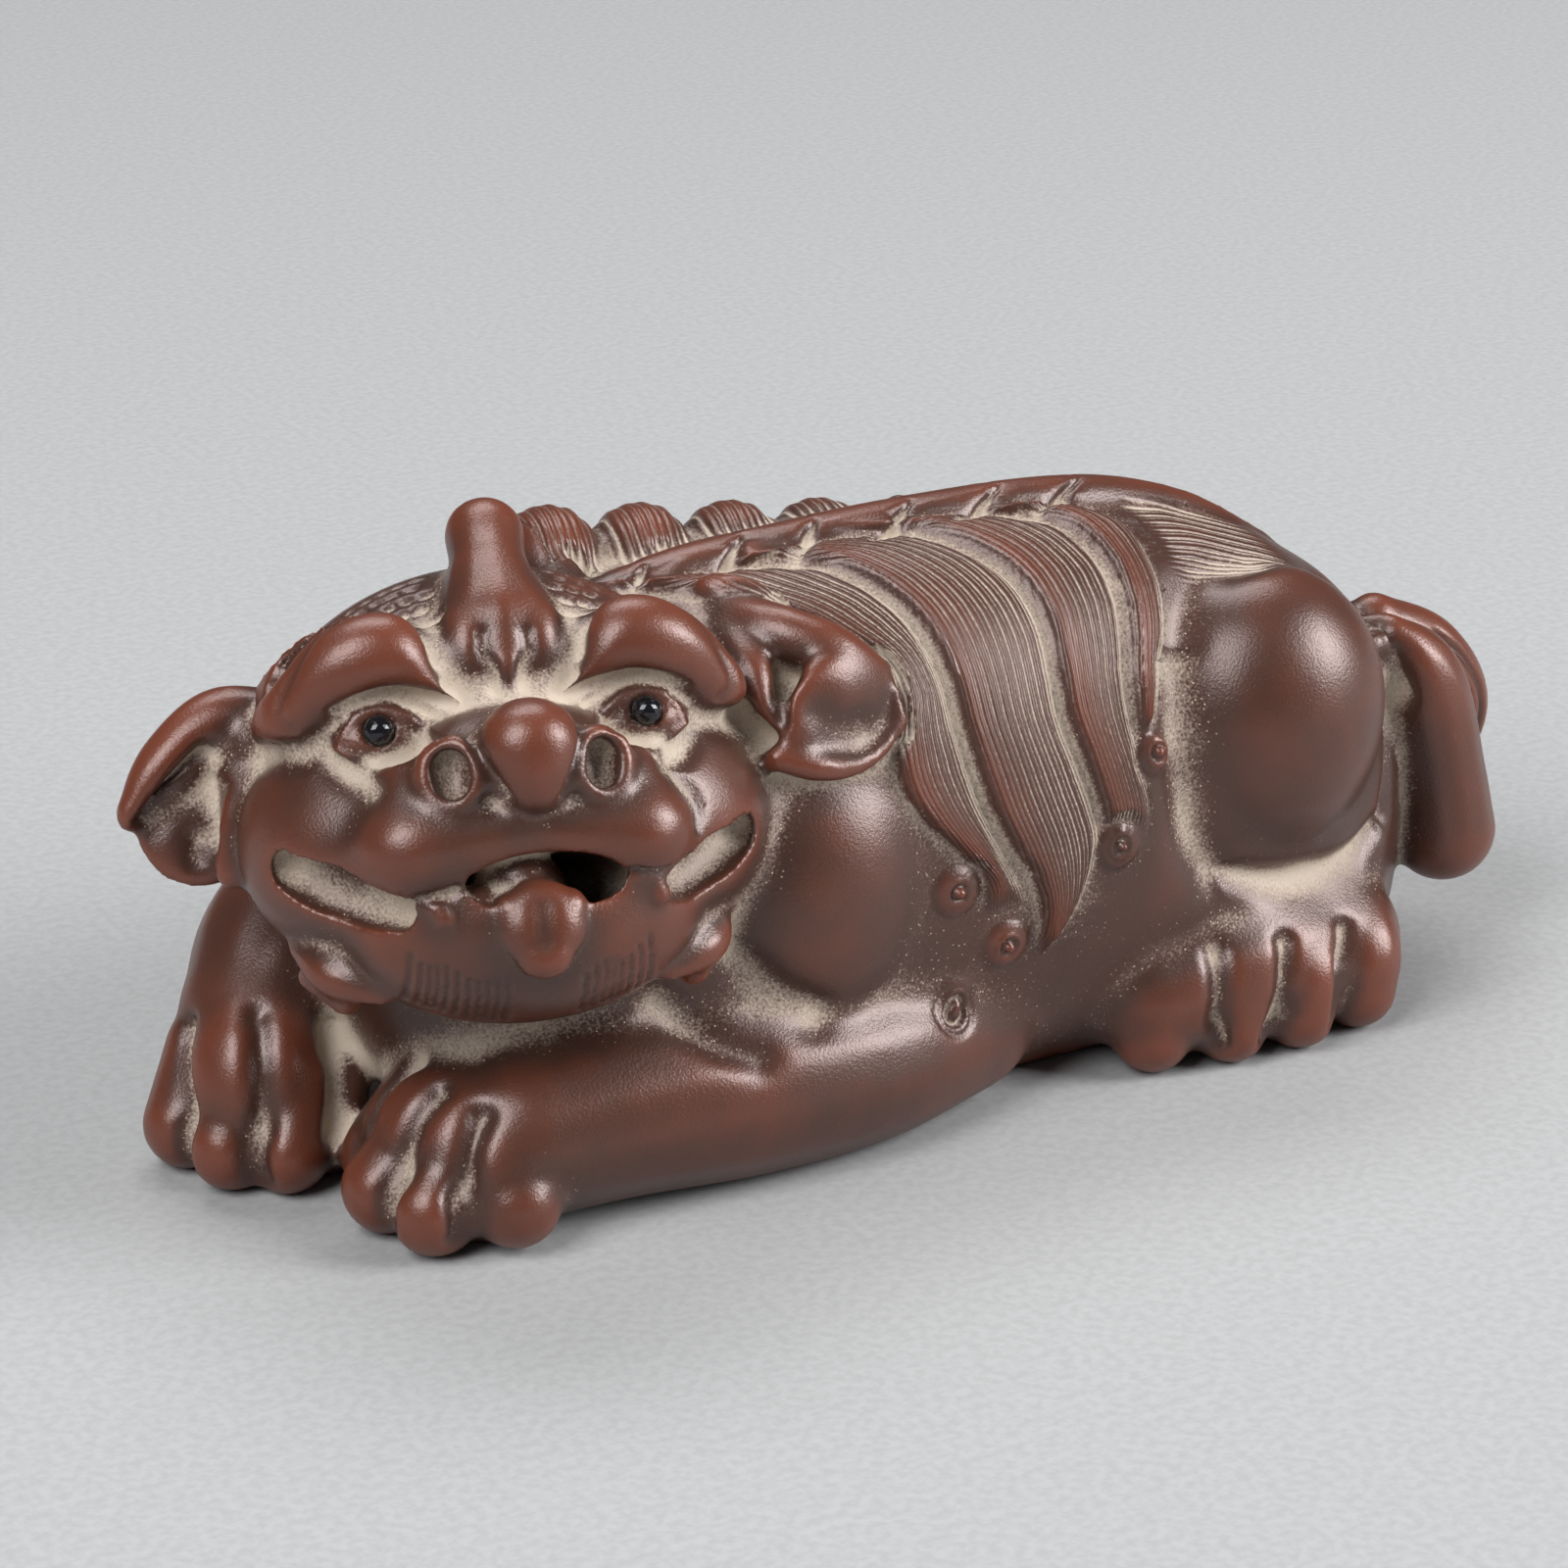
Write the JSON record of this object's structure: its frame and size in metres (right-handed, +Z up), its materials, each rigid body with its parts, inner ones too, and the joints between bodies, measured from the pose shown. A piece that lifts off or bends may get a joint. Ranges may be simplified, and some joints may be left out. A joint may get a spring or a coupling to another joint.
{
  "type": "tea pet figurine",
  "caption": "Recumbent guardian lion in unglazed clay, hollow, with its head turned to one side, mouth open, tongue out and inlaid bead eyes.",
  "frame": {"origin": "on the flat underside, in the plane of the spine, below the middle of the trunk", "axes": "+Z up, -X towards the chest and fore paws, +X towards the tail, the face looks to -Y and a little up"},
  "size_m": [0.1552, 0.0625, 0.068],
  "materials": {
    "clay": "unglazed dark red-brown stoneware, polished by handling, with pale dust in the hollows",
    "bead": "glossy black bead"
  },
  "bodies": {
    "root": {"figure": "clay", "eye_bead_left": "bead", "eye_bead_right": "bead"}
  },
  "joints": []
}
